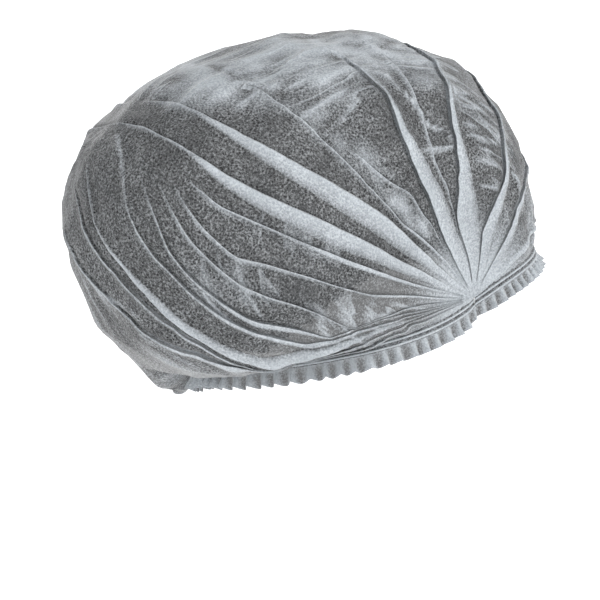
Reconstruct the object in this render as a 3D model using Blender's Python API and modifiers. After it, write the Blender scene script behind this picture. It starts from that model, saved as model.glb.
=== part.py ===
"""A disposable hair cover cap in the form that it has in use: opened out and filled.

Units are metres. +X is the cap's front, +Y its left and +Z up. The origin is the centre of the
cap's opening, level with the two tacks. Every section of the cap runs like a meridian from the
right tack over the top to the left one, as the pleats of the folded strip do.
"""

import math

import bmesh
import bpy
import numpy as np

# Driving dimensions
temple_spacing = 0.140
temple_forward = 0.028
crown_reach = 0.202
side_swell = 0.023
left_sag = 0.026
crown_wall = 0.0012
pleat_height = 0.0026
tack_radius = 0.0085
tack_wall = 0.0020
band_width = 0.0045
band_wall = 0.0016
front_frill_width = 0.0075
rear_frill_width = 0.0080
frill_wall = 0.0010
flute_pitch = 0.0070
flute_depth = 0.0017
seam_gap = 0.0003
hem_straightness = 0.0002

# Fineness of the meshes
crown_rows = 31
tack_rows = 3
tack_columns = 12
band_step = 0.0085
steps_per_flute = 4

# Each crown section, from the front hem (share 0) to the rear hem (share 1). Turns are degrees
# about the line through the tacks, 0 forward and 90 up: crown_turn at the middle of the cap and
# temple_turn where the section leaves the tack. Reach, swell and sag are shares of crown_reach,
# side_swell and left_sag, and fullness is the exponent of the section's outline, 2 for an ellipse.
SECTION_COLUMNS = ("share", "crown_turn", "temple_turn", "reach", "swell", "fullness", "sag")
SECTIONS = (
    (0.00, 27, 38, 0.35, 0.45, 2.2, 0.0),
    (0.06, 38, 45, 0.39, 0.52, 2.2, 0.0),
    (0.16, 57, 60, 0.49, 0.61, 2.2, 0.0),
    (0.26, 75, 76, 0.60, 0.70, 2.2, 0.0),
    (0.36, 94, 92, 0.69, 0.78, 2.2, 0.0),
    (0.46, 112, 109, 0.75, 0.87, 2.2, 0.0),
    (0.56, 129, 127, 0.83, 0.96, 2.1, 0.0),
    (0.65, 143, 143, 0.93, 1.00, 2.1, 0.0),
    (0.74, 157, 160, 1.00, 1.00, 2.05, 0.0),
    (0.83, 171, 175, 0.98, 0.96, 2.0, 0.0),
    (0.90, 182, 184, 0.89, 0.90, 2.0, 0.1),
    (0.95, 190, 190, 0.80, 0.88, 2.0, 0.5),
    (0.985, 197, 195, 0.67, 0.82, 2.0, 1.0),
    (1.00, 196, 209, 0.61, 0.60, 1.9, 0.6),
)

# Each pleat: its place between the hems at the tack and over the crown, how far from the tack
# towards the middle of the cap it has opened out flat, its height as a share of pleat_height, and
# the side to which its crest is laid (1 to the rear, -1 to the front).
PLEAT_COLUMNS = ("at_temple", "at_crown", "opens", "height", "lay")
PLEATS = (
    (0.08, 0.07, 0.80, 0.7, -1),
    (0.19, 0.17, 0.85, 1.0, -1),
    (0.29, 0.29, 0.70, 0.8, -1),
    (0.38, 0.38, 0.62, 0.9, 1),
    (0.48, 0.48, 0.68, 1.0, 1),
    (0.56, 0.56, 0.60, 0.6, 1),
    (0.63, 0.63, 0.66, 0.7, 1),
    (0.695, 0.69, 0.98, 1.0, 1),
    (0.755, 0.745, 0.90, 1.0, 1),
    (0.81, 0.79, 0.80, 0.7, 1),
    (0.86, 0.84, 0.95, 0.8, -1),
    (0.91, 0.885, 1.05, 0.9, -1),
    (0.955, 0.94, 1.05, 0.7, -1),
)

# Where the columns of one pleat stand, in half widths from its place, and the height there as a
# share of the pleat's own: a long slope up, a crest and a steep fall. A lay of -1 turns it round.
PLEAT_SHAPE = ((-1.0, 0.0), (0.45, 1.0), (1.0, 0.0))
pleat_half_room = 0.45
pleat_width_when_flat = 0.25

# Shares of the way from the tack to the middle of the cap: over which a pleat grows out of the
# tack, narrows before it opens (as a share of opens) and lies down flat.
pleat_growth = 0.22
pleat_narrowing = 0.70
pleat_fading = 0.35

# The crown's last column before each hem, as a share of the way between the hems, and how much
# closer its rows lie near the tacks than over the top.
hem_column = 0.02
row_crowding = 1.15

# The swings over which the left of the back sags, and how gently it starts and ends.
SAG_START = math.radians(90)
SAG_END = math.radians(180)
SAG_SLOPE = math.radians(50)

# How far the band's middle stands out, as a share of its wall, and the sine below which the bend
# between crown and band counts as a flat one.
band_bulge = 0.1
least_bend_sine = 0.5
hem_samples = 800

# Across a frill: how far down each line of points lies, and how deep its flutes are there.
FLUTE_LINES = ((0.0, 0.0), (0.5, 0.55), (1.0, 1.0))

# The way each frill falls, at the front and at the rear, before it is squared to the hem.
FRONT_FALL = (0.45, 0.0, -0.90)
REAR_FALL = (-0.12, 0.0, -1.0)

FABRIC_COLOUR = (0.86, 0.88, 0.90, 1.0)
WELD_COLOUR = (0.92, 0.93, 0.94, 1.0)
ELASTIC_COLOUR = (0.90, 0.91, 0.92, 1.0)
cloth_roughness = 0.75
sharp_angle = math.radians(50)


def smooth_column(table, columns, name, share):
    """One column of a table, read between its rows on a smooth curve."""
    places = np.array([row[0] for row in table], float)
    values = np.array([row[columns.index(name)] for row in table], float)
    slopes = np.gradient(values, places)
    share = np.clip(share, 0.0, 1.0)
    index = np.clip(np.searchsorted(places, share, side="right") - 1, 0, len(places) - 2)
    step = places[index + 1] - places[index]
    t = (share - places[index]) / step
    start = (2 * t**3 - 3 * t**2 + 1) * values[index] + (t**3 - 2 * t**2 + t) * step * slopes[index]
    end = (3 * t**2 - 2 * t**3) * values[index + 1] + (t**3 - t**2) * step * slopes[index + 1]
    return start + end


def section_value(name, share):
    return smooth_column(SECTIONS, SECTION_COLUMNS, name, share)


def eased(value):
    value = np.clip(value, 0.0, 1.0)
    return value * value * (3 - 2 * value)


def cap_point(share, swing):
    """A point of the smooth cap: share from front to rear hem, swing from right (0) to left (pi) tack."""
    rise = np.sin(swing)
    run = np.cos(swing)
    fullness = section_value("fullness", share)
    crown_turn = section_value("crown_turn", share)
    temple_turn = section_value("temple_turn", share)
    turn = np.radians(crown_turn + (temple_turn - crown_turn) * (1 - rise) ** 2)
    reach = crown_reach * section_value("reach", share) * rise ** (2 / fullness)
    swell = side_swell * section_value("swell", share) * np.sin(2 * swing)
    side = temple_spacing / 2 * np.sign(run) * np.abs(run) ** (2 / fullness) + swell
    hangs = eased((swing - SAG_START) / SAG_SLOPE) * eased((SAG_END - swing) / SAG_SLOPE)
    height = reach * np.sin(turn) - left_sag * section_value("sag", share) * hangs
    return np.stack([temple_forward + reach * np.cos(turn), -side, height], -1)


def swing_at_radius(share, radius):
    """The swing, on the right, at which a section lies this far from the line through the tacks."""
    reach = crown_reach * section_value("reach", share)
    return np.arcsin((radius / reach) ** (section_value("fullness", share) / 2))


def unit(vectors):
    return vectors / np.maximum(np.linalg.norm(vectors, axis=-1, keepdims=True), 1e-12)


def cap_normal(share, swing):
    """The cap's outward direction, from two small steps over the smooth surface."""
    step = 1e-4
    inner_share = np.clip(share, step, 1 - step)
    across = cap_point(inner_share + step, swing) - cap_point(inner_share - step, swing)
    along = cap_point(inner_share, swing + step) - cap_point(inner_share, swing - step)
    return unit(np.cross(along, across))


def crown_columns(progress):
    """The shares at which one row of the crown has its columns, and the pleats' height at each."""
    towards_crown = np.sin(progress * math.pi / 2)
    pleats = [dict(zip(PLEAT_COLUMNS, row)) for row in PLEATS]
    places = [
        pleat["at_temple"] + (pleat["at_crown"] - pleat["at_temple"]) * towards_crown
        for pleat in pleats
    ]
    shares = [0.0]
    heights = [0.0]
    for index, pleat in enumerate(pleats):
        before = places[index - 1] if index else -places[0]
        after = places[index + 1] if index + 1 < len(pleats) else 2 - places[-1]
        room = pleat_half_room * min(places[index] - before, after - places[index])
        to_opening = pleat["opens"] - progress
        closed = eased(to_opening / (pleat_narrowing * pleat["opens"]))
        half_width = room * (pleat_width_when_flat + (1 - pleat_width_when_flat) * closed)
        standing = eased(to_opening / pleat_fading) * eased(progress / pleat_growth)
        rise = pleat_height * pleat["height"] * standing
        shares.append((before + places[index]) / 2 if index else hem_column)
        heights.append(0.0)
        for offset, level in PLEAT_SHAPE[:: pleat["lay"]]:
            shares.append(places[index] + pleat["lay"] * offset * half_width)
            heights.append(rise * level)
    shares += [1 - hem_column, 1.0]
    heights += [0.0, 0.0]
    return np.array(shares), np.array(heights)


def crown_grid():
    """Rows from the right tack's edge over the top to the left one's, each from hem to hem."""
    rows = []
    for row in range(crown_rows):
        across = 2 * row / (crown_rows - 1) - 1
        progress = 1 - abs(across)
        shares, heights = crown_columns(progress)
        first = swing_at_radius(shares, tack_radius)
        swing = first + (math.pi / 2 - first) * progress**row_crowding
        swing = np.where(across > 0, math.pi - swing, swing)
        rows.append(cap_point(shares, swing) + heights[:, None] * cap_normal(shares, swing))
    return np.array(rows)


def tack_grid(left):
    """The fan of welded pleat ends, from the tack's centre to its edge."""
    rows = []
    shares = np.linspace(0.0, 1.0, tack_columns + 1)
    for row in range(tack_rows + 1):
        swing = swing_at_radius(shares, (tack_radius - seam_gap) * row / tack_rows)
        rows.append(cap_point(shares, math.pi - swing if left else swing))
    return np.array(rows)


def crown_underside(bend):
    """How far below the hem line the crown's wall reaches over a band that turns down by this angle."""
    half_crown = crown_wall / 2
    half_band = band_wall / 2
    sine = np.maximum(np.sin(bend), least_bend_sine)
    steep = (half_crown - half_band * np.cos(bend)) / sine
    return np.where(bend > math.pi / 2, steep, half_crown * np.sin(bend))


class Hem:
    """One hem line from the right tack to the left one, with the directions at its stations."""

    def __init__(self, share, fall, frill_width):
        self.frill_width = frill_width
        start = swing_at_radius(share, seam_gap)
        swing = np.linspace(start, math.pi - start, hem_samples)
        line = cap_point(np.full_like(swing, share), swing)
        travelled = np.linalg.norm(np.diff(line, axis=0), axis=1)
        distance = np.concatenate([[0.0], np.cumsum(travelled)])
        self.length = distance[-1]
        self.distance = np.linspace(0.0, self.length, max(2, round(self.length / band_step)) + 1)
        swing = np.interp(self.distance, distance, swing)

        self.line = cap_point(np.full_like(swing, share), swing)
        along = unit(np.gradient(self.line, axis=0))
        fall = np.array(fall)
        self.down = unit(fall - (along @ fall)[:, None] * along)
        side = 1 if share > 0.5 else -1
        self.out = side * np.cross(along, self.down)
        fabric = self.line - cap_point(np.full_like(swing, abs(share - hem_column)), swing)
        fabric = unit(fabric - np.sum(fabric * along, axis=1)[:, None] * along)
        bend = np.arccos(np.clip(np.sum(fabric * self.down, axis=1), -1, 1))
        self.seat = seam_gap + hem_straightness + crown_underside(bend)

    def at(self, values, distance):
        """Values of the hem's stations, read at some distances along it."""
        if values.ndim == 1:
            return np.interp(distance, self.distance, values)
        return np.stack([np.interp(distance, self.distance, values[:, k]) for k in range(3)], -1)

    def strip(self, distance, offsets, lift):
        """Rows of points beside the hem, at offsets below the crown's edge and lifted outwards."""
        line = self.at(self.line, distance)
        down = self.at(self.down, distance)
        out = self.at(self.out, distance)
        seat = self.at(self.seat, distance)
        rows = []
        for offset, raised in zip(offsets, lift):
            below = (seat + offset)[:, None] * down
            rows.append(line + below + np.broadcast_to(raised, distance.shape)[:, None] * out)
        return np.array(rows)


def band_grid(hem):
    bulge = band_bulge * band_wall
    return hem.strip(hem.distance, (0.0, band_width / 2, band_width), (0.0, bulge, 0.0))


def frill_grid(hem):
    """The fluted strip outside the band: its flutes deepen towards the free edge."""
    flutes = max(1, round(hem.length / flute_pitch))
    distance = np.linspace(0.0, hem.length, flutes * steps_per_flute + 1)
    wave = np.cos(distance / hem.length * flutes * 2 * math.pi)
    part_down, part_deep = FLUTE_LINES[1]
    lean = frill_wall / 2 * (part_deep * flute_depth) / (part_down * hem.frill_width)
    start = band_width + seam_gap + lean
    offsets = [start + hem.frill_width * down for down, _ in FLUTE_LINES]
    return hem.strip(distance, offsets, [flute_depth * deep * wave for _, deep in FLUTE_LINES])


def material(name, colour, roughness):
    made = bpy.data.materials.new(name)
    made.use_nodes = True
    shader = made.node_tree.nodes["Principled BSDF"]
    shader.inputs["Base Color"].default_value = colour
    shader.inputs["Roughness"].default_value = roughness
    shader.inputs["Metallic"].default_value = 0.0
    made.diffuse_color = colour
    return made


def sheet_mesh(name, grid, turned):
    """A grid of points as an open surface, with its faces turned outwards."""
    rows, columns = grid.shape[:2]
    mesh = bpy.data.meshes.new(name)
    surface = bmesh.new()
    corners = [[surface.verts.new(point) for point in row] for row in grid]
    for row in range(rows - 1):
        for column in range(columns - 1):
            loop = [
                corners[row][column],
                corners[row][column + 1],
                corners[row + 1][column + 1],
                corners[row + 1][column],
            ]
            surface.faces.new(loop[::-1] if turned else loop)
    bmesh.ops.remove_doubles(surface, verts=surface.verts, dist=1e-6)
    surface.to_mesh(mesh)
    surface.free()
    return mesh


def add_piece(name, mesh, wall, colour, collection):
    """An object whose open mesh is given its wall."""
    piece = bpy.data.objects.new(name, mesh)
    collection.objects.link(piece)
    mesh.materials.append(material(name, colour, cloth_roughness))
    shell = piece.modifiers.new("wall", "SOLIDIFY")
    shell.thickness = wall
    shell.offset = 0.0
    mesh.shade_smooth()
    mesh.set_sharp_from_angle(angle=sharp_angle)
    return piece


def remove_everything():
    for thing in list(bpy.data.objects):
        bpy.data.objects.remove(thing, do_unlink=True)


def build_cap():
    collection = bpy.data.collections.new("disposable_hair_cover_cap")
    bpy.context.scene.collection.children.link(collection)

    crown = sheet_mesh("crown", crown_grid(), turned=True)
    add_piece("crown", crown, crown_wall, FABRIC_COLOUR, collection)

    right = sheet_mesh("right_temple_tack", tack_grid(left=False), turned=True)
    add_piece("right_temple_tack", right, tack_wall, WELD_COLOUR, collection)
    left = sheet_mesh("left_temple_tack", tack_grid(left=True), turned=False)
    add_piece("left_temple_tack", left, tack_wall, WELD_COLOUR, collection)

    hems = {
        "front": Hem(0.0, FRONT_FALL, front_frill_width),
        "rear": Hem(1.0, REAR_FALL, rear_frill_width),
    }
    for name, hem in hems.items():
        band = sheet_mesh(f"{name}_elastic", band_grid(hem), turned=name == "front")
        add_piece(f"{name}_elastic", band, band_wall, ELASTIC_COLOUR, collection)
        frill = sheet_mesh(f"{name}_frill", frill_grid(hem), turned=name == "front")
        add_piece(f"{name}_frill", frill, frill_wall, FABRIC_COLOUR, collection)


remove_everything()
build_cap()
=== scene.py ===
# %% [markdown]
# # A disposable hair cover cap
# The cap is sold as a narrow strip of pleated nonwoven cloth. Pulled open, it becomes a bag with two
# elastic hems. This lesson dresses the measured solids of the cap: it replaces the plain walls by one
# thin pleated cloth, by puckered hems and by fluted frills, and gives them the finish of spunbond
# cloth, which is a white web of fibres that lets what lies behind it through.

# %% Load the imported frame
import math

import bmesh
import bpy
import numpy as np
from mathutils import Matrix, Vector, noise


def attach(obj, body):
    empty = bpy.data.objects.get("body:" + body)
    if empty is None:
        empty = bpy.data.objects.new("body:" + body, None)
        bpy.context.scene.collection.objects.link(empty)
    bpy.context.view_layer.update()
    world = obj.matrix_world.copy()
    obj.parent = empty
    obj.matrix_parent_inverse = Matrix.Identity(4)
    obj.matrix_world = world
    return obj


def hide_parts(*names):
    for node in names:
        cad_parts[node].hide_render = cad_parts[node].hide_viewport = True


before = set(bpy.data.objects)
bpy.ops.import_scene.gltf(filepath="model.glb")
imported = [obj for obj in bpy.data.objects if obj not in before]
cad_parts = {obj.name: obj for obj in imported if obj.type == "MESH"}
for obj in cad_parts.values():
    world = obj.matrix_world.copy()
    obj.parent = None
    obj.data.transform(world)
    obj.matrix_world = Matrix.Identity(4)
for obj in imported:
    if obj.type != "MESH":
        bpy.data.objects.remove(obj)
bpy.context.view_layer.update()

print("nodes:", sorted(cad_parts))

# %% [markdown]
# ## The form of the cap
# Every pleat of the strip runs from the right tack over the top to the left one, so the whole form is
# a fan of such sections. A place on the cap is a share, from 0 at the front hem to 1 at the rear hem,
# and a swing, from 0 at the right tack to half a turn at the left one. These are the sizes and the
# table that the solids were made from, and the cloth, hems and frills below all lie on them.

# %% Sizes of the cap
temple_spacing = 0.140
temple_forward = 0.028
crown_reach = 0.202
side_swell = 0.023
left_sag = 0.026
tack_radius = 0.0085
band_width = 0.0045
front_frill_width = 0.0075
rear_frill_width = 0.0080
seam_gap = 0.0003
sag_start, sag_end, sag_slope = (math.radians(angle) for angle in (90, 180, 50))

# Turns are in degrees about the line through the tacks. Reach, swell and sag are shares of the sizes
# above, and fullness is the power of the section's curve, where 2 would give an ellipse.
SECTION_COLUMNS = ("share", "crown_turn", "temple_turn", "reach", "swell", "fullness", "sag")
SECTIONS = (
    (0.00, 27, 38, 0.35, 0.45, 2.2, 0.0),
    (0.06, 38, 45, 0.39, 0.52, 2.2, 0.0),
    (0.16, 57, 60, 0.49, 0.61, 2.2, 0.0),
    (0.26, 75, 76, 0.60, 0.70, 2.2, 0.0),
    (0.36, 94, 92, 0.69, 0.78, 2.2, 0.0),
    (0.46, 112, 109, 0.75, 0.87, 2.2, 0.0),
    (0.56, 129, 127, 0.83, 0.96, 2.1, 0.0),
    (0.65, 143, 143, 0.93, 1.00, 2.1, 0.0),
    (0.74, 157, 160, 1.00, 1.00, 2.05, 0.0),
    (0.83, 171, 175, 0.98, 0.96, 2.0, 0.0),
    (0.90, 182, 184, 0.89, 0.90, 2.0, 0.1),
    (0.95, 190, 190, 0.80, 0.88, 2.0, 0.5),
    (0.985, 197, 195, 0.67, 0.82, 2.0, 1.0),
    (1.00, 196, 209, 0.61, 0.60, 1.9, 0.6),
)


def section_value(name, share):
    """One column of the table, read between its rows on a smooth curve."""
    places = np.array([row[0] for row in SECTIONS], float)
    values = np.array([row[SECTION_COLUMNS.index(name)] for row in SECTIONS], float)
    slopes = np.gradient(values, places)
    share = np.clip(share, 0.0, 1.0)
    index = np.clip(np.searchsorted(places, share, side="right") - 1, 0, len(places) - 2)
    step = places[index + 1] - places[index]
    t = (share - places[index]) / step
    start = (2 * t**3 - 3 * t**2 + 1) * values[index] + (t**3 - 2 * t**2 + t) * step * slopes[index]
    end = (3 * t**2 - 2 * t**3) * values[index + 1] + (t**3 - t**2) * step * slopes[index + 1]
    return start + end


def eased(value):
    value = np.clip(value, 0.0, 1.0)
    return value * value * (3 - 2 * value)


def unit(vectors):
    return vectors / np.maximum(np.linalg.norm(vectors, axis=-1, keepdims=True), 1e-12)


def cap_point(share, swing):
    rise = np.sin(swing)
    run = np.cos(swing)
    fullness = section_value("fullness", share)
    crown_turn = section_value("crown_turn", share)
    temple_turn = section_value("temple_turn", share)
    turn = np.radians(crown_turn + (temple_turn - crown_turn) * (1 - rise) ** 2)
    reach = crown_reach * section_value("reach", share) * rise ** (2 / fullness)
    swell = side_swell * section_value("swell", share) * np.sin(2 * swing)
    side = temple_spacing / 2 * np.sign(run) * np.abs(run) ** (2 / fullness) + swell
    hangs = eased((swing - sag_start) / sag_slope) * eased((sag_end - swing) / sag_slope)
    height = reach * np.sin(turn) - left_sag * section_value("sag", share) * hangs
    return np.stack([temple_forward + reach * np.cos(turn), -side, height], -1)


def swing_at_radius(share, radius):
    """The swing, on the right, at which a section lies this far from the line through the tacks."""
    reach = crown_reach * section_value("reach", share)
    return np.arcsin((radius / reach) ** (section_value("fullness", share) / 2))


def cap_directions(share, swing):
    """How far the cap runs for each unit of share and of swing, and its outward direction."""
    step = 1e-4
    inner = np.clip(share, step, 1 - step)
    across = (cap_point(inner + step, swing) - cap_point(inner - step, swing)) / (2 * step)
    along = (cap_point(inner, swing + step) - cap_point(inner, swing - step)) / (2 * step)
    return across, along, unit(np.cross(along, across))


middle = cap_point(np.linspace(0, 1, 400), np.full(400, math.pi / 2))
middle_length = np.linalg.norm(np.diff(middle, axis=0), axis=1).sum()
print(f"hem to hem over the middle of the cap: {middle_length * 1000:.0f} mm")

# %% [markdown]
# ## The camera
# The photograph shows the cap's right side from a little behind and a little above. A long lens
# keeps the sides nearly parallel, as there.

# %% Camera
camera_turn = math.radians(-33)
camera_height = math.radians(3)
camera_distance = 1.3
view_width = 0.330
camera_aim = Vector((-0.0168, 0.0288, -0.0041))
back = Vector((
    math.sin(camera_turn) * math.cos(camera_height),
    -math.cos(camera_turn) * math.cos(camera_height),
    math.sin(camera_height),
))
camera_data = bpy.data.cameras.new("camera")
camera_data.sensor_width = 36.0
camera_data.lens = camera_data.sensor_width * camera_distance / view_width
camera = bpy.data.objects.new("camera", camera_data)
bpy.context.scene.collection.objects.link(camera)
camera.location = camera_aim + back * camera_distance
camera.rotation_euler = back.to_track_quat("Z", "Y").to_euler()
bpy.context.scene.camera = camera
print(f"camera {camera_distance} m away, {view_width * 1000:.0f} mm wide at the cap")

# %% [markdown]
# ## Folds in the cloth
# Between the tacks the strip's pleats open out, some of them late: there the cloth still lies in three
# layers, as a long blade that narrows to a point. Beyond the point the crease goes on as a line. Each
# fold below is written as its two edges at a few swings, front edge first, as shares between the hems.
# Where only one share is given, the fold is a crease. The same folds are used on both sides of the
# cap, because the strip was pressed flat as a whole, and those on the left are moved a little.

# %% Table of folds
# swing in degrees from the tack, then the front and rear edge as shares in thousandths
FOLDS = {
    "front_hem_pleat": ((10, 30, 110), (22, 40, 90), (40, 50, 70), (62, 60)),
    "front_pleat": ((10, 130, 200), (22, 140, 185), (34, 150, 180), (48, 170, 175), (80, 175)),
    "front_blade": (
        (12, 245, 345), (20, 262, 345), (25, 255, 310), (36, 250, 272), (50, 265, 270), (75, 290),
    ),
    "upper_blade": (
        (12, 330, 450), (18, 335, 470), (24, 365, 470), (30, 380, 445), (35, 390, 422), (42, 392, 412),
        (50, 392, 402), (60, 380, 384), (80, 370),
    ),
    "crown_crease": ((20, 475), (38, 482), (44, 470), (52, 460), (66, 440)),
    "great_blade": (
        (11, 440, 585), (18, 465, 570), (24, 490, 560), (32, 500, 545), (41, 503, 532), (47, 508, 522),
        (56, 495, 500), (68, 500),
    ),
    "crown_wave": ((14, 595, 600), (24, 585, 590), (28, 592), (33, 582), (36, 600), (41, 610)),
    "top_crease": ((16, 625, 640), (28, 655, 660), (38, 642, 644), (49, 632, 634), (70, 620)),
    "long_blade": (
        (7, 670, 730), (16, 680, 722), (25, 672, 716), (33, 670, 714), (42, 678, 712), (50, 684, 708),
        (62, 686, 700), (72, 684, 690), (82, 680),
    ),
    "side_blade": (
        (5, 750, 825), (12, 745, 795), (18, 742, 778), (30, 740, 775), (38, 741, 775), (46, 742, 768),
        (54, 741, 760), (62, 736, 748), (70, 728, 732), (84, 714),
    ),
    "side_crease": ((20, 800, 812), (36, 790, 800), (48, 782, 786), (61, 772), (75, 737), (90, 722)),
    "side_fold": (
        (11, 860, 880), (20, 850, 860), (31, 858, 864), (43, 836), (51, 828), (57, 826), (64, 798),
        (75, 742), (90, 727),
    ),
    "rear_hollow": (
        (20, 900, 905), (39, 945, 950), (43, 905, 910), (47, 886, 889), (57, 860), (66, 815), (76, 750),
        (90, 732),
    ),
    "rear_first": (
        (30, 930, 935), (45, 950, 955), (51, 925, 935), (58, 905, 915), (63, 880, 886), (68, 848, 851),
        (71, 824, 825), (73, 800), (77, 768), (86, 738),
    ),
    "rear_second": (
        (30, 945, 950), (52, 955, 965), (60, 918, 926), (66, 888, 894), (70, 860, 864), (74, 836, 838),
        (78, 808), (81, 778), (88, 745),
    ),
    "rear_blade": (
        (30, 960, 965), (56, 962, 978), (62, 932, 958), (66, 908, 928), (70, 882, 900), (75, 854, 864),
        (79, 832, 838), (84, 812, 814), (87, 783), (92, 752),
    ),
    "rear_third": (
        (30, 972, 975), (60, 975, 983), (65, 952, 960), (70, 912, 918), (75, 884, 888), (79, 864, 867),
        (85, 835, 836), (88, 818), (91, 798), (96, 768),
    ),
    "rear_last": (
        (30, 984, 986), (68, 960, 970), (75, 930, 936), (79, 912, 915), (84, 890), (90, 862), (94, 838),
        (98, 812), (102, 790),
    ),
}

# These are laid towards the rear, and the rest towards the front.
LAID_TO_REAR = ("great_blade", "upper_blade", "front_blade", "front_pleat", "rear_blade")
# A crease can end before its last place, which then only keeps the order of the folds.
ENDS_AT = {
    "side_crease": 61, "side_fold": 63, "rear_hollow": 66, "rear_first": 70,
    "rear_second": 74, "rear_blade": 84, "rear_third": 86, "rear_last": 90,
}
# The right side's rear folds run on past the middle. Over side_change, in degrees, the columns move
# to the places of the left side's folds, which end at left_end degrees from their own tack. Any other
# fold meets its mirror image in a round bend.
side_change = (100, 122)
left_end = 48
middle_rounding = 8.0
fade_swing = 10.0
side_shift = 0.006
side_shift_swing = 40
fold_phase = 2.3

# The height of the layers is in metres, and the rest are shares of the way between the hems.
layer_height = 0.0015
crease_room = 0.008
least_room = 0.0016
edge_blur = 0.0014
whole_fold_half = 0.0042

# %% [markdown]
# A fold's course from its front side to its rear side is one run to and fro. With `closed` at 0 the
# run goes straight on, at a quarter it stands up as a crease, and at 1 it goes over, back and over
# again, which is a pleat in three layers. So one formula opens a pleat into flat cloth.

# %% Course of one fold
fold_names = list(FOLDS)
turn_step = 1 / 3
edge_step_limit = -0.43
least_edge_step = 0.03
before_turn = -0.37
steps_to_turn = (0.35, 0.70, 1.0)
steps_after_turn = (-0.285, -0.14)
ordering_passes = 12
spare_share = 0.42
narrowest_spare = 0.2 * least_room


def to_and_fro(step):
    return np.interp(step, (-1, -turn_step, turn_step, 1), (0, 4 * turn_step, -4 * turn_step, 0))


def fold_steps(closed, half, room):
    """Steps along the course, two of them just outside and at the edge of the layers below."""
    outside = (-(half + edge_blur) / room - 2 * closed) / (1 + 2 * closed)
    at_edge = (-half / room - 2 * closed) / (1 + 2 * closed)
    at_edge = np.minimum(at_edge, edge_step_limit)
    outside = np.minimum(outside, at_edge - least_edge_step)
    first = [-np.ones_like(room), outside, at_edge]
    first += [at_edge + (before_turn - at_edge) * part for part in steps_to_turn]
    first += [np.full_like(room, value) for value in (-turn_step, *steps_after_turn)]
    return first + [np.zeros_like(room)] + [-step for step in reversed(first)]


def left_shift(phase, degrees):
    """The part of a shift that a fold or crease gets: none on the right, its own on the left."""
    return math.sin(phase) * eased((degrees - 90) / side_shift_swing)


def fold_edges(name, degrees):
    """Front and rear edge of a fold at each row, and how strongly it still shows there."""
    places = [(*place, place[-1])[:3] for place in FOLDS[name]]
    swings, *edges = (np.array(column, float) for column in zip(*places))
    end = ENDS_AT.get(name, swings[-1])
    if swings[-1] > 90:
        to_left = eased((degrees - side_change[0]) / (side_change[1] - side_change[0]))
        ways = ((degrees, 1 - to_left), (180 - degrees, to_left))
        shows = eased((end + fade_swing - degrees) / fade_swing)
        shows += eased((left_end + fade_swing - (180 - degrees)) / fade_swing)
    else:
        near = 90 + middle_rounding - np.hypot(90 - degrees, middle_rounding)
        ways = ((near, 1.0),)
        shows = eased((end + fade_swing - near) / fade_swing)
    moved = side_shift * left_shift(fold_phase * fold_names.index(name), degrees)
    front, rear = (
        sum(np.interp(place, swings, edge / 1000) * part for place, part in ways) + moved for edge in edges
    )
    return front, rear, shows


def smoothed(values, times=2):
    for _ in range(times):
        values[1:-1] = (values[:-2] + 2 * values[1:-1] + values[2:]) / 4
    return values


def arranged_folds(degrees):
    """Middle, half width, half room and strength of all folds, moved just enough to lie in order."""
    fronts, rears, shows = (np.array(part).T for part in zip(*(fold_edges(n, degrees) for n in FOLDS)))
    fronts = smoothed(fronts)
    rears = smoothed(rears)
    for _ in range(ordering_passes):
        for after in range(1, len(FOLDS)):
            overlap = np.maximum(rears[:, after - 1] + least_room - fronts[:, after], 0)
            rears[:, after - 1] -= overlap / 2
            fronts[:, after] += overlap / 2
            fronts[:, after - 1] = np.minimum(fronts[:, after - 1], rears[:, after - 1])
            rears[:, after] = np.maximum(rears[:, after], fronts[:, after])
        fronts[:, -1] = np.minimum(fronts[:, -1], 1 - 2 * least_room)
        rears[:, -1] = np.minimum(rears[:, -1], 1 - least_room)
    hem = np.zeros(len(degrees))
    space_before = fronts - np.column_stack([hem, rears[:, :-1]])
    space_after = np.column_stack([fronts[:, 1:], hem + 1]) - rears
    spare = np.minimum(crease_room, spare_share * np.minimum(space_before, space_after))
    half = (rears - fronts) / 2
    return (fronts + rears) / 2, half, half + np.maximum(spare, narrowest_spare), shows


# %% [markdown]
# ## The crown cloth
# A row of points runs from hem to hem at each step of swing. The row's shares come from the folds in
# turn, with a few points on the flat cloth between them, so the mesh has most of its faces in the folds.
# Each point is lifted off the cap along its outward direction: by the layers of the fold that it is in,
# by the creases listed further on, and by a slow waviness from noise. Noise in three dimensions is used
# because it runs on over the folds without a seam.

# %% Rows and columns of the crown cloth
cloth_rows = 230
row_crowding = 1.1
flat_steps = (0.22, 0.5, 0.78)
crease_height = 0.7
crest_highlight_width = 0.20
flat_whiteness = 0.80
row_share = np.linspace(-1, 1, cloth_rows)
progress = 1 - np.abs(row_share)
row_degrees = np.where(row_share > 0, 180 - 90 * progress, 90 * progress)
columns = {"share": [], "lift": [], "layers_and_highlights": []}


def add_column(share, lift=0.0, layers_and_highlights=0.0):
    for kept, values in zip(columns.values(), (share, lift, layers_and_highlights)):
        kept.append(np.zeros(cloth_rows) + values)


def add_flat_columns(start, end, steps):
    for step in steps:
        add_column(start + (end - start) * step)


def add_fold_columns(centre, half, room, strength, lay):
    closed = np.clip((3 * half / room + 1) / 4, 0, 1) * strength
    folded = eased(half / whole_fold_half)
    height = layer_height * (crease_height + (1 - crease_height) * folded) * strength
    for step in fold_steps(closed, half, room):
        place = step + closed * to_and_fro(step)
        # A painted highlight: the cloth is whitened along the fold's outer edge, at its crest, also where
        # one layer lies.
        crest_highlight = np.exp(-(((step + lay * turn_step) / crest_highlight_width) ** 2))
        to_edge = half - np.abs(room * place)
        inside = eased((to_edge + 0.5 * edge_blur) / edge_blur)
        stacked = inside * folded * (flat_whiteness + (1 - flat_whiteness) * crest_highlight)
        layers_and_highlights = np.maximum(stacked, crest_highlight * (1 - 0.5 * folded)) * strength
        add_column(centre + room * place, -lay * height * np.sin(np.pi * step), layers_and_highlights)


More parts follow.
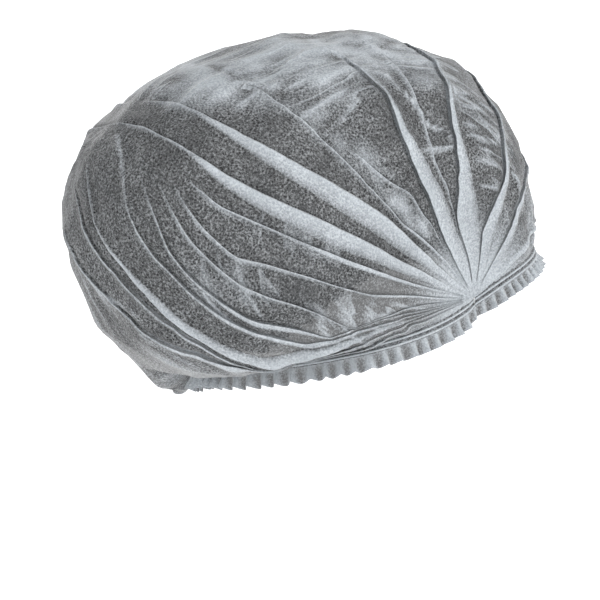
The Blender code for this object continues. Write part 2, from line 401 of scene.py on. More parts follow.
behind = np.zeros(cloth_rows)
add_column(behind)
fold_parts = (part.T for part in arranged_folds(row_degrees))
for name, centre, half, room, strength in zip(fold_names, *fold_parts):
    add_flat_columns(behind, centre - room, flat_steps)
    add_fold_columns(centre, half, room, strength, 1 if name in LAID_TO_REAR else -1)
    behind = centre + room
add_flat_columns(behind, 1, (*flat_steps, 1.0))

shares, lifts, layers_and_highlights = (np.array(kept).T for kept in columns.values())
shares = np.clip(shares, 0, 1)
first_swing = swing_at_radius(shares, tack_radius)
swings = first_swing + (math.pi / 2 - first_swing) * progress[:, None] ** row_crowding
swings = np.where(row_share[:, None] > 0, math.pi - swings, swings)
print("crown cloth grid:", shares.shape)

# %% [markdown]
# ## Creases that cross the pleats
# Small gathers run across the front panel, over the sides and into the rear hem. They don't follow
# the pleats, so each is a line of its own through a few places, with a height and a width. The lift
# falls off steeply on one side and slowly on the other, as at a real crease. Each crease also has a
# painted highlight along it, whiter cloth that falls off steeply on one side and slowly on the other.

# %% Table of creases
# height and width in millimetres, whiteness of the painted highlight, then places as swing in degrees and
# share in thousandths
CREASES = (
    (0.9, 1.6, 0.65, ((44, 368), (45, 334), (51, 292))),
    (0.9, 1.6, 0.65, ((36, 366), (35, 342), (40, 276))),
    (0.8, 1.5, 0.60, ((29, 364), (31, 294))),
    (0.8, 1.5, 0.55, ((23, 356), (26, 268))),
    (0.9, 2.0, 0.75, ((50, 376), (45, 372), (41, 370), (38, 360))),
    (0.7, 1.4, 0.45, ((38, 250), (35, 220), (33, 180))),
    (0.8, 1.5, 0.50, ((34, 248), (35, 198))),
    (0.7, 1.4, 0.45, ((24, 240), (22, 200), (23, 160))),
    (1.2, 2.2, 0.55, ((34, 890), (35, 920), (37, 950), (36, 980))),
    (1.3, 2.0, 0.60, ((28, 870), (29, 900), (33, 960), (32, 985))),
    (1.1, 2.0, 0.50, ((22, 870), (24, 900), (27, 950), (26, 985))),
    (1.2, 2.4, 0.55, ((33, 975), (28, 960), (22, 955), (17, 965))),
    (1.0, 1.8, 0.55, ((19, 880), (15, 905), (12, 925))),
    (1.0, 2.0, 0.70, ((72, 614), (71, 568), (70, 530), (70, 498), (62, 498), (64, 472))),
    (1.0, 2.2, 0.75, ((74, 680), (72, 648), (68, 618), (65, 610), (67, 590), (64, 530))),
    (1.0, 2.2, 0.75, ((63, 610), (61, 596), (58, 560), (59, 526), (59, 504))),
    (0.9, 2.0, 0.65, ((59, 498), (57, 490), (54, 466), (48, 472))),
    (0.9, 2.0, 0.65, ((65, 438), (59, 414), (61, 384), (58, 372))),
    (0.9, 2.4, 0.55, ((50, 628), (52, 582), (53, 552), (51, 548))),
    (0.7, 1.6, 0.45, ((62, 654), (62, 638), (63, 618))),
    (0.9, 1.8, 0.65, ((48, 470), (43, 464), (37, 460), (36, 430))),
    (0.9, 1.8, 0.55, ((32, 498), (31, 448), (32, 412))),
    (0.8, 1.8, 0.55, ((57, 868), (56, 892), (54, 904))),
    (0.9, 1.6, 0.35, ((48, 846), (47, 888), (47, 904))),
    (0.8, 1.8, 0.45, ((90, 870), (88, 878), (82, 890), (77, 900))),
    (0.9, 2.2, 0.45, ((86, 905), (80, 916), (77, 934), (75, 954))),
    (0.9, 2.4, 0.40, ((88, 935), (82, 950), (78, 965), (75, 985))),
    (0.7, 1.8, 0.30, ((84, 725), (80, 740), (76, 765), (73, 790))),
)


def rounded(places):
    """A line through places as a softer one: each pass cuts its corners off."""
    for _ in range(2):
        cut = [places[0]]
        for start, end in zip(places, places[1:]):
            cut += [tuple(a + (b - a) * part for a, b in zip(start, end)) for part in (0.25, 0.75)]
        places = [*cut, places[-1]]
    return places


crease_shift, crease_phase = 0.012, 1.7
steep_side, slow_side = 0.7, 2.2
steep_highlight, slow_highlight = 0.45, 0.9


def crease_field(degrees, share, across_span, along_span):
    """Lift in metres and painted highlight of all creases, on both sides of the cap."""
    lift = np.zeros_like(share)
    painted_white = np.zeros_like(share)
    near = np.minimum(degrees, 180 - degrees)
    for number, (height, width, highlight_whiteness, places) in enumerate(CREASES):
        places = rounded([(swing, share / 1000) for swing, share in places])
        wanders = crease_shift * left_shift(crease_phase * number, degrees)
        best = np.full(share.shape, 1.0)
        side = np.zeros_like(share)
        run = np.zeros_like(share)
        for piece, (start, end) in enumerate(zip(places, places[1:])):
            to_x = (end[0] - start[0]) * along_span
            to_y = (end[1] - start[1]) * across_span
            x = (near - start[0]) * along_span
            y = (share - wanders - start[1]) * across_span
            t = np.clip((x * to_x + y * to_y) / (to_x**2 + to_y**2 + 1e-12), 0, 1)
            away = np.hypot(x - t * to_x, y - t * to_y)
            closer = away < best
            best = np.where(closer, away, best)
            side = np.where(closer, np.sign(to_x * y - to_y * x), side)
            run = np.where(closer, (piece + t) / (len(places) - 1), run)
        tapers = np.sin(np.pi * np.clip(run * 0.9 + 0.05, 0, 1)) ** 0.6
        reach = width / 1000 * np.where(side > 0, steep_side, slow_side)
        lift += height / 1000 * tapers * np.exp(-((best / reach) ** 1.5))
        # The painted highlight falls off steeply on one side and slowly on the other.
        highlight_reach = width / 1000 * np.where(side > 0, steep_highlight, slow_highlight)
        painted_white = np.maximum(painted_white, highlight_whiteness * tapers * np.exp(-((best / highlight_reach) ** 2)))
    return lift, painted_white


# %% [markdown]
# Some whole areas of the cloth are painted whiter, as painted light where broad facets look lit, and
# the crumple lines show in some of them. A short table names those areas, and each fades out towards
# its rim.

# %% Table of areas of painted light
# middle as swing in degrees and share, reach in degrees and in share, whiteness of the painted light,
# crumple lines
PAINTED_LIGHT_AREAS = (
    (66, 0.045, 44, 0.080, 0.95, 0.3),
    (80, 0.620, 26, 0.060, 1.35, 0.9),
    (70, 0.515, 20, 0.070, 1.75, 1.0),
    (66, 0.420, 18, 0.060, 1.30, 1.0),
    (72, 0.665, 12, 0.030, 0.30, 0.5),
    (40, 0.610, 18, 0.040, 0.45, 0.3),
    (56, 0.560, 12, 0.060, 0.25, 0.8),
    (44, 0.425, 12, 0.025, 0.20, 0.7),
    (60, 0.330, 26, 0.070, 0.20, 0.8),
    (40, 0.300, 16, 0.060, 0.00, 0.7),
    (52, 0.120, 34, 0.070, 0.45, 0.4),
    (24, 0.910, 14, 0.050, 0.10, 0.8),
    (50, 0.858, 12, 0.035, 0.35, 0.5),
    (104, 0.885, 8, 0.060, 0.55, 0.0),
    (72, 0.985, 30, 0.035, 0.40, 0.0),
    (20, 0.622, 10, 0.036, 1.00, 0.2),
    (34, 0.780, 14, 0.030, 0.00, 0.4),
)
white_rim, lines_rim, lines_fade = 1.25, 1.6, 1.2


def painted_light_areas(degrees, share):
    """Whiteness of the areas as painted light, and how much of the crumple lines shows there."""
    near = np.minimum(degrees, 180 - degrees)
    painted_white = np.zeros_like(share)
    crumpled = np.zeros_like(share)
    for swing, middle_share, swing_reach, share_reach, amount, lines in PAINTED_LIGHT_AREAS:
        away = np.hypot((near - swing) / swing_reach, (share - middle_share) / share_reach)
        painted_white += amount * eased(white_rim - away)
        crumpled = np.maximum(crumpled, lines * eased(lines_rim - lines_fade * away))
    return painted_white, crumpled


# %% Lift and layers of every point
across, along, outward = cap_directions(shares, swings)
across_span = np.linalg.norm(across, axis=-1)
along_span = np.linalg.norm(along, axis=-1) * math.pi / 180
degrees = np.degrees(swings)
points = cap_point(shares, swings)
crease_lift, crease_highlight = crease_field(degrees, shares, across_span, along_span)

hem_reach = 0.010
calm_start, calm_fade = 0.012, 0.040
white_start, white_fade = 0.060, 0.050
to_tack = np.hypot(points[..., 0] - temple_forward, points[..., 2])
near_tack = eased((white_start - to_tack) / white_fade)
calm_near_tack = eased((to_tack - calm_start) / calm_fade)
near_hem = np.exp(-np.minimum(shares * across_span, (1 - shares) * across_span) / hem_reach)
free = calm_near_tack * (1 - near_hem)

wave_scale = 34
wave_offset = Vector((3.1, 0, 0))
coarse_crumple, fine_crumple = 95, 210
waviness = np.empty(shares.shape)
crumple = np.empty(shares.shape)
for place in np.ndindex(shares.shape):
    at = Vector(points[place])
    waviness[place] = noise.noise(at * wave_scale + wave_offset)
    crumple[place] = noise.noise(at * coarse_crumple) + 0.5 * noise.noise(at * fine_crumple)

wave_height = 0.0034
crumple_height = 0.0011
gather_height = 0.0044
gather_pitch = 9.0
gather_wander = 6.6
fold_height_at_tack = 0.35
gathers = np.sin(np.radians(degrees) * 180 / gather_pitch + gather_wander * waviness)
lift = lifts * (fold_height_at_tack + (1 - fold_height_at_tack) * calm_near_tack)
lift += crease_lift * calm_near_tack
lift += (wave_height * waviness + crumple_height * crumple) * free
lift += gather_height * gathers * near_hem * free
points = points + lift[..., None] * outward

crease_highlight_strength = 1.7
tack_whiteness = 0.97
hem_whiteness = 0.55
crumple_whiteness = 0.10
area_base, area_unevenness = 0.55, 0.6
# Painted highlight: the cloth is whitened along the creases.
layers_and_highlights = np.maximum(layers_and_highlights, crease_highlight_strength * crease_highlight)
area_painted_light, crumpled = painted_light_areas(degrees, shares)
# Painted light: whole areas of the cloth are made whiter.
layers_and_highlights = layers_and_highlights + area_painted_light * (area_base + area_unevenness * crumple) * (1 - layers_and_highlights)
layers_and_highlights = np.maximum(layers_and_highlights, tack_whiteness * near_tack)
layers_and_highlights = np.maximum(layers_and_highlights, hem_whiteness * near_hem)
layers_and_highlights = np.clip(layers_and_highlights + crumple_whiteness * crumple * free, 0, 1)
print(f"lift from {lift.min() * 1000:.1f} to {lift.max() * 1000:.1f} mm")
over_folds = np.linalg.norm(np.diff(points, axis=1), axis=-1).sum(axis=1)
print(f"longest way over the folds from hem to hem: {over_folds.max() * 1000:.0f} mm")

# %% [markdown]
# ## Making a mesh from a grid
# All the cloth pieces are grids of points, so one helper turns a grid into a mesh. It also stores two
# things that the materials read: a UV map in metres along the cloth, and how many layers lie there,
# where the crown cloth also carries its painted highlights and painted light.


# %% Helpers for grids
def store(mesh, name, kind, values):
    attribute = mesh.attributes.new(name, kind, "POINT")
    key = "vector" if kind == "FLOAT_VECTOR" else "value"
    attribute.data.foreach_set(key, np.asarray(values, np.float32).ravel())


def grid_piece(name, grid, turned, uv=None, layer_and_highlight_values=None):
    rows, columns = grid.shape[:2]
    mesh = bpy.data.meshes.new(name)
    corner = np.arange(rows * columns).reshape(rows, columns)
    quads = np.stack([corner[:-1, :-1], corner[:-1, 1:], corner[1:, 1:], corner[1:, :-1]], -1).reshape(-1, 4)
    if turned:
        quads = quads[:, ::-1]
    mesh.from_pydata(grid.reshape(-1, 3).tolist(), [], quads.tolist())
    if uv is not None:
        layer = mesh.uv_layers.new(name="cloth")
        order = np.empty(len(mesh.loops), int)
        mesh.loops.foreach_get("vertex_index", order)
        layer.data.foreach_set("uv", uv.reshape(-1, 2)[order].ravel())
    if layer_and_highlight_values is not None:
        # The layers stored here carry painted highlights and painted light as well as the cloth's layers.
        store(mesh, "layers_and_highlights", "FLOAT", layer_and_highlight_values)
    mesh.shade_smooth()
    piece = bpy.data.objects.new(name, mesh)
    bpy.context.scene.collection.objects.link(piece)
    return piece


# %% Crown cloth
mean_reach = 0.11
cloth_uv = np.stack([swings * mean_reach, shares * middle_length], -1)
crown_cloth = grid_piece("crown_cloth", points, True, cloth_uv, layers_and_highlights)
store(crown_cloth.data, "crumpled", "FLOAT", crumpled * calm_near_tack)
crown_area = sum(face.area for face in crown_cloth.data.polygons)
print(f"crown cloth: {len(crown_cloth.data.polygons) * 2} triangles, {crown_area:.3f} square metres")

# %% [markdown]
# ## The two hems
# At each hem the cloth is folded over elastic threads. The elastic draws it together, so the hem is a
# narrow band with fine puckers, and the cloth outside it stands in flutes. Both follow the hem line, so
# first come the stations along it, each with the way down and the way out from the cap.


# %% Stations along a hem
station_step = 0.0009
line_samples = 1600
hem_turn_length = 0.022


class Hem:
    """A hem line from the right tack to the left one, and a way down and out at each place."""

    def __init__(self, share, fall, end_fall):
        start = swing_at_radius(share, seam_gap)
        swing = np.linspace(start, math.pi - start, line_samples)
        line = cap_point(np.full_like(swing, share), swing)
        travelled = np.concatenate([[0], np.cumsum(np.linalg.norm(np.diff(line, axis=0), axis=1))])
        length = travelled[-1]
        self.distance = np.linspace(0, length, round(length / station_step) + 1)
        self.line = np.stack([np.interp(self.distance, travelled, line[:, k]) for k in range(3)], -1)
        along = unit(np.gradient(self.line, axis=0))
        fall = np.array(fall)
        squared = unit(fall - (along @ fall)[:, None] * along)
        self.out = (1 if share > 0.5 else -1) * np.cross(along, squared)
        self.to_tack = np.minimum(self.distance, length - self.distance)
        turns_down = eased(1 - self.to_tack / hem_turn_length)[:, None]
        self.down = unit(squared * (1 - turns_down) + np.array(end_fall) * turns_down)
        print(f"hem at share {share:.0f}: {length * 1000:.0f} mm, {len(self.distance)} stations")


hems = {
    "front": Hem(0.0, (0.45, 0.0, -0.90), (0.02, 0.0, -1.0)),
    "rear": Hem(1.0, (-0.12, 0.0, -1.0), (0.16, 0.0, -1.0)),
}

# %% [markdown]
# ## Short calls for node trees
# The waves and the finishes below are node trees. A small class keeps their code short: it makes a
# tree with named sockets, adds a node with its settings, and feeds a socket with a number, a colour
# or what another node puts out.


# %% Helper for node trees
class Nodes:
    """The nodes of one tree, with short calls to add and join them."""

    def __init__(self, tree):
        self.tree = tree

    def add(self, kind, **settings):
        node = self.tree.nodes.new(kind)
        for key, setting in settings.items():
            setattr(node, key, setting)
        return node

    def feed(self, socket, source):
        if isinstance(source, bpy.types.NodeSocket):
            self.tree.links.new(source, socket)
        else:
            socket.default_value = source

    def fed(self, kind, sources, **settings):
        """A new node whose sockets, given by name or number, are fed; gives its first output."""
        node = self.add(kind, **settings)
        for socket, source in sources.items():
            self.feed(node.inputs[socket], source)
        return node.outputs[0]

    def value(self, operation, *sources, clamp=False):
        return self.fed("ShaderNodeMath", dict(enumerate(sources)), operation=operation, use_clamp=clamp)

    def vector(self, operation, *sources):
        return self.fed("ShaderNodeVectorMath", dict(enumerate(sources)), operation=operation)


def new_tree(name, kind, inputs, outputs):
    """A tree with named sockets: its nodes, what it is given, and the sockets of its result."""
    tree = bpy.data.node_groups.new(name, kind)
    for in_out, sockets in (("INPUT", inputs), ("OUTPUT", outputs)):
        for label, start in sockets.items():
            socket_type = f"NodeSocket{start if isinstance(start, str) else 'Float'}"
            socket = tree.interface.new_socket(label, in_out=in_out, socket_type=socket_type)
            if not isinstance(start, str):
                socket.default_value = start
    nodes = Nodes(tree)
    return nodes, nodes.add("NodeGroupInput").outputs, nodes.add("NodeGroupOutput").inputs


# %% [markdown]
# ## Waves along a strip, with Geometry Nodes
# Puckers and flutes are the same thing at two sizes: waves that repeat along a strip and die out
# towards its fixed edge. A tree with named inputs makes both. It reads what is stored on the strip:
# the distance along it, how free the cloth is there, the ways out and down, and the layers with their
# painted highlights. The wave has sharp crests and round valleys, because gathered cloth does, and
# noise makes it uneven. Each crest is painted whiter, a painted highlight on the ridge.


# %% Geometry Nodes tree for waves
def waves_tree():
    sizes = {"Pitch": 0.006, "Depth": 0.002, "Scallop": 0.0, "Unevenness": 0.5, "Seed": 1.0}
    nodes, given, result = new_tree(
        "waves along a strip", "GeometryNodeTree",
        {"Geometry": "Geometry", **sizes, "Crest highlight": 0.0, "Material": "Material"},
        {"Geometry": "Geometry"},
    )
    value = nodes.value

    def stored(name, kind="FLOAT"):
        return nodes.fed("GeometryNodeInputNamedAttribute", {"Name": name}, data_type=kind)

    def wander(scale, shift):
        """Noise along the strip, from about -0.5 to 0.5."""
        sources = {"X": value("MULTIPLY", turns, scale), "Y": value("ADD", given["Seed"], shift)}
        place = nodes.fed("ShaderNodeCombineXYZ", sources)
        texture = nodes.fed("ShaderNodeTexNoise", {"Vector": place, "Scale": 1.0, "Detail": 1.0})
        return value("SUBTRACT", texture, 0.5)

    turns = value("DIVIDE", stored("distance"), given["Pitch"])
    jitter = value("MULTIPLY", wander(0.45, 0.0), value("MULTIPLY", given["Unevenness"], 3.0))
    phase = value("ADD", turns, jitter)
    valley = value("ABSOLUTE", value("SINE", value("MULTIPLY", phase, math.pi)))
    wave = value("SUBTRACT", 1.0, value("MULTIPLY", valley, 2.0))
    louder = value("MULTIPLY", wander(0.8, 9.0), value("MULTIPLY", given["Unevenness"], 1.6))
    freedom = stored("freedom")
    amount = value("MULTIPLY", value("MULTIPLY", wave, value("ADD", 1.0, louder)), freedom)

    def moved(way, size):
        sources = {0: stored(way, "FLOAT_VECTOR"), "Scale": value("MULTIPLY", amount, given[size])}
        return nodes.fed("ShaderNodeVectorMath", sources, operation="SCALE")

    offset = nodes.vector("ADD", moved("outward", "Depth"), moved("downward", "Scallop"))
    shape = nodes.fed("GeometryNodeSetPosition", {"Geometry": given["Geometry"], "Offset": offset})
    # A painted highlight: each crest is written whiter.
    crest_highlight = value("MULTIPLY", value("SUBTRACT", 1.0, valley), given["Crest highlight"])
    painted_crest_highlight = value("MULTIPLY", crest_highlight, value("ADD", freedom, 0.3))
    layers_and_highlights = value("ADD", stored("layers_and_highlights"), painted_crest_highlight, clamp=True)
    written = {"Geometry": shape, "Name": "layers_and_highlights", "Value": layers_and_highlights}
    shape = nodes.fed("GeometryNodeStoreNamedAttribute", written, data_type="FLOAT")
    shape = nodes.fed("GeometryNodeRealizeInstances", {0: shape})
    shape = nodes.fed("GeometryNodeSetMaterial", {"Geometry": shape, "Material": given["Material"]})
    nodes.feed(result[0], shape)
    return nodes.tree


waves = waves_tree()
print("tree inputs:", [item.name for item in waves.interface.items_tree if item.in_out == "INPUT"])


# %% Helpers that make a strip and run the tree
def run_tree(piece, tree, inputs):
    """Run a tree on a piece and keep the result as its plain mesh."""
    modifier = piece.modifiers.new("nodes", "NODES")
    modifier.node_group = tree
    for item in tree.interface.items_tree:
        if item.in_out == "INPUT" and item.name in inputs:
            modifier[item.identifier] = inputs[item.name]
    bpy.context.view_layer.update()
    seen = piece.evaluated_get(bpy.context.evaluated_depsgraph_get())
    made = bpy.data.meshes.new_from_object(seen)
    piece.modifiers.remove(modifier)
    piece.data = made


def waved_strip(name, hem, grid, layer_and_highlight_values, freedom, inputs):
    """A strip along a hem from its grid, with all that the waves tree reads, after its run."""
    lines = grid.shape[1]
    turned = hem is hems["front"]
    piece = grid_piece(name, grid, turned, None, np.tile(layer_and_highlight_values, (len(grid), 1)))
    store(piece.data, "distance", "FLOAT", np.repeat(hem.distance, lines))
    store(piece.data, "freedom", "FLOAT", freedom)
    store(piece.data, "outward", "FLOAT_VECTOR", np.repeat(hem.out, lines, axis=0))
    store(piece.data, "downward", "FLOAT_VECTOR", np.repeat(hem.down, lines, axis=0))
    run_tree(piece, waves, inputs)
    print(name, len(piece.data.polygons), "faces")
    return piece


def merge_doubles(mesh, closed=False):
    """Merge a mesh's doubles, and for a tube also close its ends and turn its faces outwards."""
    shape = bmesh.new()
    shape.from_mesh(mesh)
    bmesh.ops.remove_doubles(shape, verts=shape.verts, dist=1e-6)
    if closed:
        bmesh.ops.holes_fill(shape, edges=[edge for edge in shape.edges if edge.is_boundary], sides=0)
        bmesh.ops.recalc_face_normals(shape, faces=shape.faces)
    shape.to_mesh(mesh)
    shape.free()


# %% [markdown]
# ## The finish: a web of fibres
# Spunbond cloth is a thin mat of endless fibres. In one layer it is half open: bright where fibres
# cross, and between them painted shade, a dark grey that stands for the inside of the cap, with only a
# little let through. Where a pleat lies in three layers it is an even white. One shader group makes
# this from the layers and painted highlights that the mesh stores, and every cloth finish uses it. Two
# noises give the clumps of fibre and a cell pattern gives the net of single fibres between them. A
# picture of cloth would be simpler, but it would repeat.


# %% Shader group for the fibre web
# The single layer's colours are painted shade: near black gaps and grey fibres stand for the dark inside of
# the cap.
SINGLE_LAYER_PAINTED_SHADE = ((0.006, 0.006, 0.007, 1), (0.19, 0.196, 0.20, 1))
SEVERAL_LAYERS = ((0.30, 0.33, 0.355, 1), (0.48, 0.505, 0.53, 1))
net_warp = 0.0016


def web_group():
    nodes, given, result = new_tree(
        "fibre web", "ShaderNodeTree", {"Layers and highlights": 0.5, "Fineness": 1.0, "Openness": 0.10},
        {"Colour": "Color", "Alpha": "Float", "Height": "Float"},
    )
    value = nodes.value
    place = nodes.add("ShaderNodeTexCoord").outputs["Object"]

    def finer(scale):
        return value("MULTIPLY", given["Fineness"], scale)

    def clumps(scale, detail, output=0):
        node = nodes.add("ShaderNodeTexNoise")
        sources = {"Vector": place, "Scale": finer(scale), "Detail": detail, "Roughness": 0.62}
        for socket, source in sources.items():
            nodes.feed(node.inputs[socket], source)
        return node.outputs[output]

    def mixed(first, second, factor):
        node = nodes.add("ShaderNodeMix", data_type="RGBA")
        for socket, source in ((0, factor), (6, first), (7, second)):
            nodes.feed(node.inputs[socket], source)
        return node.outputs[2]

    warped = nodes.vector("MULTIPLY_ADD", clumps(330.0, 1.0, "Color"), (net_warp,) * 3, place)
    net = nodes.fed(
        "ShaderNodeTexVoronoi", {"Vector": warped, "Scale": finer(620.0)}, feature="DISTANCE_TO_EDGE"
    )
    strands = value("SUBTRACT", 1.0, value("MULTIPLY", net, 6.0), clamp=True)
    clump = value("MULTIPLY_ADD", clumps(900.0, 3.0), 4.2, -1.80, clamp=True)
    cover = value("MULTIPLY_ADD", strands, 0.35, value("MULTIPLY", clump, 0.75))
    cloudiness = value("MULTIPLY_ADD", clumps(45.0, 2.0), 1.2, 0.35)
    cover = value("MULTIPLY", cover, cloudiness, clamp=True)

    ragged = value("MULTIPLY_ADD", value("SUBTRACT", cover, 0.5), 0.30, given["Layers and highlights"], clamp=True)
    evenness = value("MULTIPLY_ADD", cover, 0.6, 0.25, clamp=True)
    # Painted shade in one layer: dark grey where the inside of the cap lies behind.
    single_painted_shade = mixed(*SINGLE_LAYER_PAINTED_SHADE, cover)
    several = mixed(*SEVERAL_LAYERS, evenness)
    nodes.feed(result["Colour"], mixed(single_painted_shade, several, ragged))

    open_share = value("MULTIPLY", given["Openness"], value("SUBTRACT", 1.0, cover))
    open_share = value("MULTIPLY", open_share, value("SUBTRACT", 1.0, ragged))
    nodes.feed(result["Alpha"], value("SUBTRACT", 1.0, open_share, clamp=True))
    nodes.feed(result["Height"], value("MULTIPLY_ADD", cover, 0.7, value("MULTIPLY", strands, 0.3)))
    return nodes.tree


fibre_web = web_group()


# %% [markdown]
# Crumpled cloth shows long wavy lines that run across the pleats. They are finer than the mesh, so
# they are painted: a stretched noise on the cloth's UV map crosses its middle value along such lines.
# The cloth is raised there by a bump, and it is white on one side of the crossing, with a sharp edge,
# and fades out on the other: a painted highlight on the lit side of each line.


# %% Shader group for crumple lines
sharp_slope, soft_slope = -45.0, 11.0


def crumple_group():
    nodes, given, result = new_tree(
        "crumple lines", "ShaderNodeTree", {"Across": 75.0, "Along": 11.0}, {"Lines": "Float"}
    )
    stretch = nodes.fed("ShaderNodeCombineXYZ", {"X": given["Across"], "Y": given["Along"]})
    cloth_map = nodes.add("ShaderNodeUVMap", uv_map="cloth").outputs[0]
    place = nodes.vector("MULTIPLY", cloth_map, stretch)
    texture = nodes.fed(
        "ShaderNodeTexNoise", {"Vector": place, "Scale": 1.0, "Detail": 2.5, "Roughness": 0.42}
    )
    sides = [
        nodes.value("MULTIPLY_ADD", texture, slope, 1.0 - slope / 2) for slope in (sharp_slope, soft_slope)
    ]
    nodes.feed(result["Lines"], nodes.value("MINIMUM", *sides, clamp=True))
    return nodes.tree


crumple_lines = crumple_group()


# %% Cloth finishes from the groups
def cloth_finish(name, layers_and_highlights=None, fineness=1.0, relief=0.00025, crumple_relief=None):
    """A cloth material. Its layers and highlights are a number, or None where the mesh stores them, and a
    cloth with a crumple relief is raised along the crumple lines and whitened there as a painted highlight,
    where the mesh is crumpled."""
    made = bpy.data.materials.new(name)
    made.use_nodes = True
    nodes = Nodes(made.node_tree)
    shader = made.node_tree.nodes["Principled BSDF"]

    def stored(name):
        return nodes.add("ShaderNodeAttribute", attribute_name=name).outputs["Fac"]

    if layers_and_highlights is None:
        layers_and_highlights = stored("layers_and_highlights")
    line_normal = {}
    if crumple_relief:
        lines = nodes.add("ShaderNodeGroup", node_tree=crumple_lines).outputs["Lines"]
        # Painted highlight: the cloth is whitened along the crumple lines, and the same lines give the bump.
        crumple_highlight_and_relief = nodes.value("MULTIPLY", lines, stored("crumpled"))
        layers_and_highlights = nodes.value("MAXIMUM", layers_and_highlights, crumple_highlight_and_relief)
        line_normal["Normal"] = nodes.fed("ShaderNodeBump", {"Distance": crumple_relief, "Height": crumple_highlight_and_relief})
    web = nodes.add("ShaderNodeGroup", node_tree=fibre_web)
    nodes.feed(web.inputs["Layers and highlights"], layers_and_highlights)
    nodes.feed(web.inputs["Fineness"], fineness)
    fibre_relief = {"Distance": relief, "Strength": 0.6, "Height": web.outputs["Height"]}
    sources = {
        "Base Color": web.outputs["Colour"],
        "Alpha": web.outputs["Alpha"],
        "Normal": nodes.fed("ShaderNodeBump", {**fibre_relief, **line_normal}),
        "Roughness": 0.68,
        "Specular IOR Level": 0.35,
        "Sheen Weight": 0.45,
        "Sheen Roughness": 0.35,
    }
    for socket, source in sources.items():
        nodes.feed(shader.inputs[socket], source)
    return made


crown_finish = cloth_finish("nonwoven crown", crumple_relief=0.0007)
frill_finish = cloth_finish("nonwoven frill", fineness=1.1)
hem_finish = cloth_finish("elastic hem", fineness=1.2, relief=0.00012)
tack_finish = cloth_finish("welded pleats", layers_and_highlights=0.94, fineness=0.9, relief=0.0002)
crown_cloth.data.materials.append(crown_finish)
print("finishes:", [made.name for made in (crown_finish, frill_finish, hem_finish, tack_finish)])

# %% [markdown]
# ## Hem bands
# A band is a flat tube round two elastic threads, which show as two raised lines. Its profile is drawn
# once as a closed outline and carried along the stations. Then the waves tree puckers the cloth
# between the threads and leaves the threads themselves nearly straight.

# %% Hem bands
# Each point of the profile: share of the way down the band, millimetres out, how free it is to pucker.
BAND_PROFILE = (
    (-0.22, 0.05, 0.3), (-0.04, 0.20, 0.5), (0.05, 0.45, 0.2), (0.12, 1.15, 0.0), (0.28, 1.15, 0.0),
    (0.35, 0.40, 0.4), (0.50, 0.05, 1.0), (0.65, 0.40, 0.4), (0.72, 1.15, 0.0), (0.88, 1.15, 0.0),
    (0.95, 0.45, 0.2), (1.04, 0.20, 0.6), (1.08, -0.30, 0.6), (0.80, -0.75, 0.2), (0.50, -0.60, 0.8),
    (0.20, -0.75, 0.2), (-0.10, -0.55, 0.4),
)
band_end_length = 0.006
least_end_height = 0.15
thread_height = 0.9
thread_layers, pucker_layers = 1.0, 0.12
puckers = {
    "Pitch": 0.0036, "Depth": 0.00055, "Scallop": 0.0, "Unevenness": 0.8, "Seed": 4.0,
    "Crest highlight": 0.3, "Material": hem_finish,
}


def band_piece(name, hem):
    down, out, free = np.array([*BAND_PROFILE, BAND_PROFILE[0]]).T
    ends = np.clip(hem.to_tack / band_end_length, least_end_height, 1)
    grid = (
        hem.line[:, None]
        + (down * band_width + seam_gap)[None, :, None] * hem.down[:, None]
        + (out[None] / 1000 * ends[:, None])[..., None] * hem.out[:, None]
    )
    layers_and_highlights = np.where(out > thread_height, thread_layers, pucker_layers)
    piece = waved_strip(name, hem, grid, layers_and_highlights, free[None] * ends[:, None], puckers)
    merge_doubles(piece.data, closed=True)
    return piece


bands = {name: band_piece(f"{name}_hem_band", hem) for name, hem in hems.items()}

# %% [markdown]
# ## Frills
# Outside the elastic the cut edge stands in flutes of five to eight millimetres, flat at the band and
# deep at the free edge, which they make look scalloped. The tree paints the crests whiter, a painted
# highlight on the ridges of the flutes.

# %% Frills
frill_lines = 8
frill_end_length = 0.012
end_width = 0.85
free_edge = 0.93
frill_flare = 0.0010
frill_start = 0.92
drawn_out = 1.02
frill_width = {"front": front_frill_width * drawn_out, "rear": rear_frill_width * drawn_out}
flute_pitch = {"front": 0.0054, "rear": 0.0080}
open_layers, band_side_layers, edge_layers = 0.04, 0.70, 0.30
band_side_fade = 7
flutes = {
    "Depth": 0.0032, "Scallop": -0.0009, "Unevenness": 0.30, "Seed": 7.0, "Crest highlight": 1.7,
    "Material": frill_finish,
}


def frill_piece(name, hem, width, pitch):
    down = np.linspace(0, 1, frill_lines)
    ends = eased(hem.to_tack / frill_end_length)[:, None]
    reach = width * down[None] * (end_width + (1 - end_width) * ends)
    flare = frill_flare * down[None] ** 1.5 * ends
    grid = (
        hem.line[:, None]
        + (band_width * frill_start + seam_gap + reach)[..., None] * hem.down[:, None]
        + flare[..., None] * hem.out[:, None]
    )
    layers_and_highlights = open_layers + band_side_layers * np.exp(-down * band_side_fade)
    layers_and_highlights = np.clip(layers_and_highlights + edge_layers * (down > free_edge), 0, 1)
    freedom = down[None] ** 0.8 * (0.2 + 0.8 * ends)
    return waved_strip(name, hem, grid, layers_and_highlights, freedom, {"Pitch": pitch, **flutes})


frills = {
    name: frill_piece(f"{name}_fluted_frill", hem, frill_width[name], flute_pitch[name])
    for name, hem in hems.items()
}

# %% [markdown]
# ## Tacks
# At each end of the strip all the pleats are welded into one small stack. It is a fan with a ridge
# for each pleat end, highest at its edge, where it goes into the crown, and pressed flat at its centre.

# %% Tacks
tack_columns = 168
tack_rings = 10
pleat_ends = 21
tack_overlap = 0.0012
ridge_height = 0.0007
dome_height = 0.0004
edge_drop = 0.0004
innermost_part = 0.004


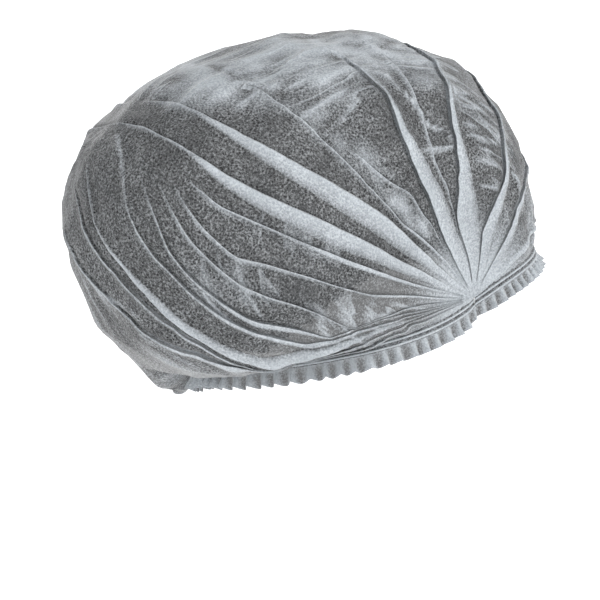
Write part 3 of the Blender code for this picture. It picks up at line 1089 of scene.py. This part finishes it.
def tack_piece(name, left, finish):
    shares = np.linspace(0, 1, tack_columns)
    rows = []
    for ring in range(tack_rings + 1):
        part = ring / tack_rings
        swing = swing_at_radius(shares, (tack_radius + tack_overlap) * max(part, innermost_part))
        swing = math.pi - swing if left else swing
        outward = cap_directions(shares, swing)[2]
        ridge = np.abs(np.sin(math.pi * pleat_ends * shares)) ** 0.7
        lift = ridge_height * part * ridge + dome_height * math.sin(math.pi * part) - edge_drop * part**4
        rows.append(cap_point(shares, swing) + lift[:, None] * outward)
    piece = grid_piece(name, np.array(rows), not left)
    piece.data.materials.append(finish)
    return piece


tacks = {
    "right": tack_piece("right_pleat_tack", False, tack_finish),
    "left": tack_piece("left_pleat_tack", True, tack_finish),
}

# %% [markdown]
# ## Which solids the pieces stand for
# The solids stay in the model for collision and are hidden here. Every piece is part of the one body.
# Towards the tacks much of the cut lies in closed pleats, which the mesh shows as one layer, so the
# area given is that of the open cloth.

STANDS_FOR = (
    (crown_cloth, "crown", "nonwoven"),
    (bands["front"], "front_elastic", "elastic_hem"),
    (bands["rear"], "rear_elastic", "elastic_hem"),
    (frills["front"], "front_frill", "nonwoven"),
    (frills["rear"], "rear_frill", "nonwoven"),
    (tacks["right"], "right_temple_tack", "weld"),
    (tacks["left"], "left_temple_tack", "weld"),
)
for piece, node, slot in STANDS_FOR:
    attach(piece, "root")
    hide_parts(node)

# %% [markdown]
# ## Floor and light
# A round floor that curves up into a wall has no horizon behind the see-through cloth from any side.
# One large soft light from the upper right shows the creases, and a pale sky fills the shadows.

# %% Backdrop
floor_height = -0.26
floor_sectors = 96
FLOOR_PROFILE = ((0.0, 0.0), (1.2, 0.0), (2.0, 0.02), (2.5, 0.16), (2.8, 0.50), (2.95, 1.0), (3.0, 2.2))


def backdrop_piece():
    rows = [
        [(r * math.cos(angle), r * math.sin(angle), floor_height + z) for r, z in FLOOR_PROFILE]
        for angle in np.linspace(0, 2 * math.pi, floor_sectors + 1)
    ]
    piece = grid_piece("backdrop", np.array(rows), True)
    merge_doubles(piece.data)
    paint = bpy.data.materials.new("backdrop paint")
    paint.use_nodes = True
    looks = paint.node_tree.nodes["Principled BSDF"].inputs
    looks["Base Color"].default_value = (0.86, 0.865, 0.87, 1)
    looks["Roughness"].default_value = 0.9
    looks["Emission Color"].default_value = (1, 1, 1, 1)
    looks["Emission Strength"].default_value = 0.62
    piece.data.materials.append(paint)
    return piece


backdrop_piece()


# %% Lights
def soft_light(name, to_right, upwards, towards_camera, size, power):
    data = bpy.data.lights.new(name, "AREA")
    data.size = size
    data.energy = power
    lamp = bpy.data.objects.new(name, data)
    bpy.context.scene.collection.objects.link(lamp)
    up = Vector((0, 0, 1))
    right = up.cross(back).normalized()
    away = right * to_right + up * upwards + back * towards_camera
    lamp.location = camera_aim + away
    lamp.rotation_euler = away.to_track_quat("Z", "Y").to_euler()


soft_light("key", 0.9, 1.3, 0.7, 0.45, 18.5)
soft_light("fill", -0.2, -0.1, 1.2, 0.9, 2.8)
world = bpy.data.worlds.new("pale sky")
bpy.context.scene.world = world
world.use_nodes = True
sky = world.node_tree.nodes["Background"].inputs
sky["Color"].default_value = (0.93, 0.96, 1.0, 1)
sky["Strength"].default_value = 0.18
bpy.context.scene.view_settings.view_transform = "Standard"
bpy.context.scene.cycles.transparent_max_bounces = 32
